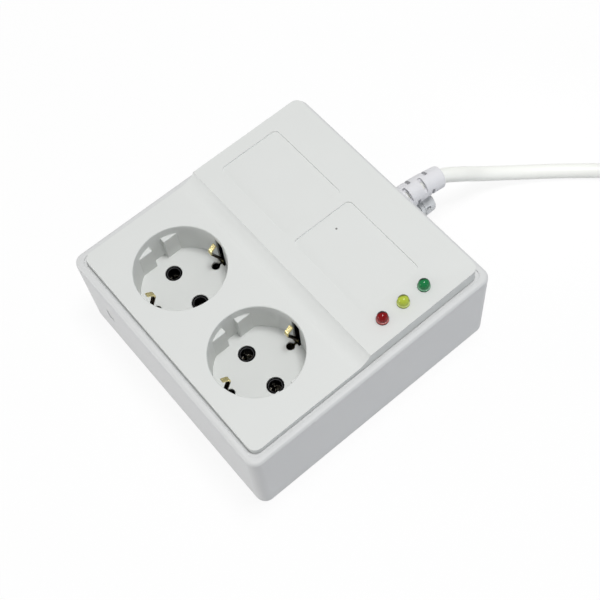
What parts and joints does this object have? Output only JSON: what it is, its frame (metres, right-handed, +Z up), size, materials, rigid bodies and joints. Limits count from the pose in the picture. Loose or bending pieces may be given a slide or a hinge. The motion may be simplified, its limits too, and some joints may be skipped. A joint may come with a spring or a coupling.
{
  "type": "appliance voltage protector",
  "caption": "Grey appliance voltage protector with earthed socket recesses, red, yellow and green lights, bare label fields, a fuse cap and a white mains cord with plug.",
  "frame": {"origin": "centre of the tray's underside", "axes": "+X towards the cord, +Y towards the side away from the lights, +Z up out of the sockets"},
  "size_m": [0.3511, 0.1537, 0.0572],
  "materials": {
    "tray_plastic": "satin light grey",
    "cover_plastic": "satin off-white",
    "cap_plastic": "satin off-white",
    "sleeve_plastic": "satin light grey",
    "cord_sheath": "smooth white",
    "steel": "plated",
    "pin_metal": "plated, polished",
    "brass": "stamped, bright",
    "black_plastic": "moulded black",
    "inner_plastic": "moulded natural",
    "board": "green lacquer",
    "relay_case": "moulded dark blue",
    "core_iron": "varnished sheets",
    "winding_tape": "taped winding",
    "capacitor_sleeve": "shrunk sleeve",
    "film_case": "moulded yellow",
    "varistor_coat": "dipped blue",
    "terminal_green": "moulded green",
    "wire_brown": "extruded brown",
    "wire_blue": "extruded blue",
    "wire_green_yellow": "extruded green with a yellow stripe",
    "fuse_glass": "clear glass",
    "lens_red": "tinted lens",
    "lens_yellow": "tinted lens",
    "lens_green": "tinted lens"
  },
  "bodies": {
    "housing": {"base_tray": "tray_plastic", "top_cover": "cover_plastic", "cover_screws": "steel", "light_red": "lens_red", "light_yellow": "lens_yellow", "light_green": "lens_green", "light_spacers": "inner_plastic", "circuit_board": "board", "board_screws": "steel", "relay": "relay_case", "transformer_core": "core_iron", "transformer_bobbin": "winding_tape", "smoothing_capacitor": "capacitor_sleeve", "film_capacitor": "film_case", "varistor": "varistor_coat", "controller_chip": "black_plastic", "terminal_block": "terminal_green", "carrier_rear": "black_plastic", "carrier_front": "black_plastic", "line_contacts": "brass", "neutral_contacts": "brass", "earth_contacts": "brass", "cord_sleeve": "sleeve_plastic", "cord_clamp": "inner_plastic", "clamp_screws": "steel", "cord_inner": "cord_sheath", "wire_line_in": "wire_brown", "wire_line_fused": "wire_brown", "wire_line_out": "wire_brown", "wire_neutral_in": "wire_blue", "wire_neutral_out": "wire_blue", "wire_earth": "wire_green_yellow", "fuse_holder": "black_plastic", "fuse_nut": "black_plastic", "fuse_terminal_rear": "brass", "fuse_terminal_side": "brass", "fuse_tube": "fuse_glass", "fuse_ends": "steel", "cord_free": "cord_sheath", "cord_coil": "cord_sheath", "cord_tail": "cord_sheath", "plug_body": "cord_sheath", "plug_pins": "pin_metal", "plug_earth": "pin_metal"},
    "cap": {"fuse_cap": "cap_plastic"}
  },
  "joints": [
    {"name": "cap_turn", "type": "hinge", "parent": "housing", "child": "cap", "pos_m": [0.0635, -0.004, 0.0161], "axis": [1, 0, 0], "range_deg": [-90, 0]}
  ]
}
